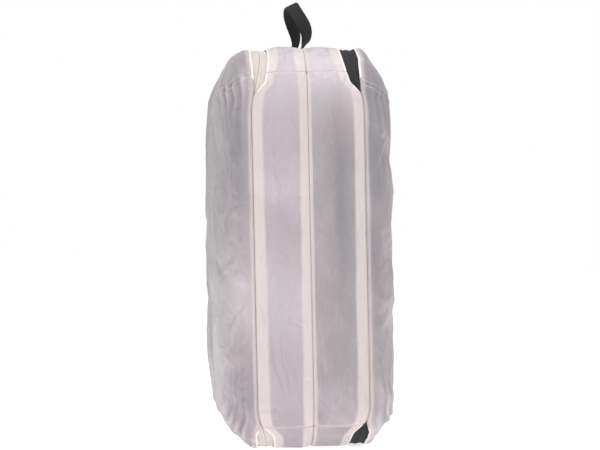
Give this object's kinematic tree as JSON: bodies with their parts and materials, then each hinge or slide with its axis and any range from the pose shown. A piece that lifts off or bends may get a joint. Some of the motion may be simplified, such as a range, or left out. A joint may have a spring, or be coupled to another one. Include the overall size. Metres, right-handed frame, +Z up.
{
  "type": "shoe bag",
  "caption": "Soft upright shoe bag with clean and dirty compartments, each closed by a zipped domed panel, and a grab loop on top.",
  "frame": {"origin": "middle of the face the bag stands on", "axes": "+Z up along the bag's length; +Y from the hinged spine to the opening side; +X from the clean compartment to the dirty one"},
  "size_m": [0.16, 0.23, 0.4112],
  "materials": {
    "coated_cloth": "translucent satin ripstop-weight coated nylon",
    "divider_cloth": "translucent matt coated nylon",
    "binding_tape": "matt woven tape",
    "cream_tape": "matt woven tape",
    "black_tape": "matt woven tape",
    "cream_teeth": "satin nylon coil",
    "black_teeth": "satin nylon coil",
    "cream_slider": "satin coated zinc",
    "black_slider": "satin coated zinc",
    "black_webbing": "matt woven webbing"
  },
  "bodies": {
    "root": {"divider": "divider_cloth", "centre_binding": "binding_tape", "clean_spine": "coated_cloth", "clean_gusset": "coated_cloth", "clean_spine_binding": "binding_tape", "clean_gusset_zip_tape": "cream_tape", "clean_gusset_zip_teeth": "cream_teeth", "dirty_spine": "coated_cloth", "dirty_gusset": "coated_cloth", "dirty_spine_binding": "binding_tape", "dirty_gusset_zip_tape": "black_tape", "dirty_gusset_zip_teeth": "black_teeth"},
    "clean_flap": {"clean_panel": "coated_cloth", "clean_panel_zip_tape": "cream_tape", "clean_panel_zip_teeth": "cream_teeth"},
    "clean_near_runner": {"clean_near_slider": "cream_slider"},
    "clean_near_handle": {"clean_near_pull": "cream_slider"},
    "clean_far_runner": {"clean_far_slider": "cream_slider"},
    "clean_far_handle": {"clean_far_pull": "cream_slider"},
    "dirty_flap": {"dirty_panel": "coated_cloth", "dirty_panel_zip_tape": "black_tape", "dirty_panel_zip_teeth": "black_teeth"},
    "dirty_near_runner": {"dirty_near_slider": "black_slider"},
    "dirty_near_handle": {"dirty_near_pull": "black_slider"},
    "dirty_far_runner": {"dirty_far_slider": "black_slider"},
    "dirty_far_handle": {"dirty_far_pull": "black_slider"},
    "loop": {"grab_loop": "black_webbing"}
  },
  "joints": [
    {"name": "clean_flap_hinge", "type": "hinge", "parent": "root", "child": "clean_flap", "pos_m": [-0.047, -0.115, 0.18], "axis": [0, 0, 1], "range_deg": [0, 120]},
    {"name": "dirty_flap_hinge", "type": "hinge", "parent": "root", "child": "dirty_flap", "pos_m": [0.047, -0.115, 0.18], "axis": [0, 0, -1], "range_deg": [0, 120]},
    {"name": "clean_near_slide", "type": "slide", "parent": "root", "child": "clean_near_runner", "axis": [0, -1, 0], "range_m": [0, 0.055]},
    {"name": "clean_near_pull_hinge", "type": "hinge", "parent": "clean_near_runner", "child": "clean_near_handle", "pos_m": [-0.04, -0.0063, 0.3616], "axis": [-1, 0, 0], "range_deg": [0, 150]},
    {"name": "clean_far_slide", "type": "slide", "parent": "root", "child": "clean_far_runner", "axis": [0, 1, 0], "range_m": [0, 0.055]},
    {"name": "clean_far_pull_hinge", "type": "hinge", "parent": "clean_far_runner", "child": "clean_far_handle", "pos_m": [-0.04, 0.0063, 0.3616], "axis": [1, 0, 0], "range_deg": [0, 150]},
    {"name": "dirty_near_slide", "type": "slide", "parent": "root", "child": "dirty_near_runner", "axis": [0, -1, 0], "range_m": [0, 0.055]},
    {"name": "dirty_near_pull_hinge", "type": "hinge", "parent": "dirty_near_runner", "child": "dirty_near_handle", "pos_m": [0.04, -0.0063, 0.3616], "axis": [-1, 0, 0], "range_deg": [0, 150]},
    {"name": "dirty_far_slide", "type": "slide", "parent": "root", "child": "dirty_far_runner", "axis": [0, 1, 0], "range_m": [0, 0.055]},
    {"name": "dirty_far_pull_hinge", "type": "hinge", "parent": "dirty_far_runner", "child": "dirty_far_handle", "pos_m": [0.04, 0.0063, 0.3616], "axis": [1, 0, 0], "range_deg": [0, 150]},
    {"name": "loop_lean", "type": "hinge", "parent": "root", "child": "loop", "pos_m": [0, 0, 0.3612], "axis": [0, 1, 0], "range_deg": [-60, 35], "stiffness_Nm_per_rad": 0.004}
  ]
}
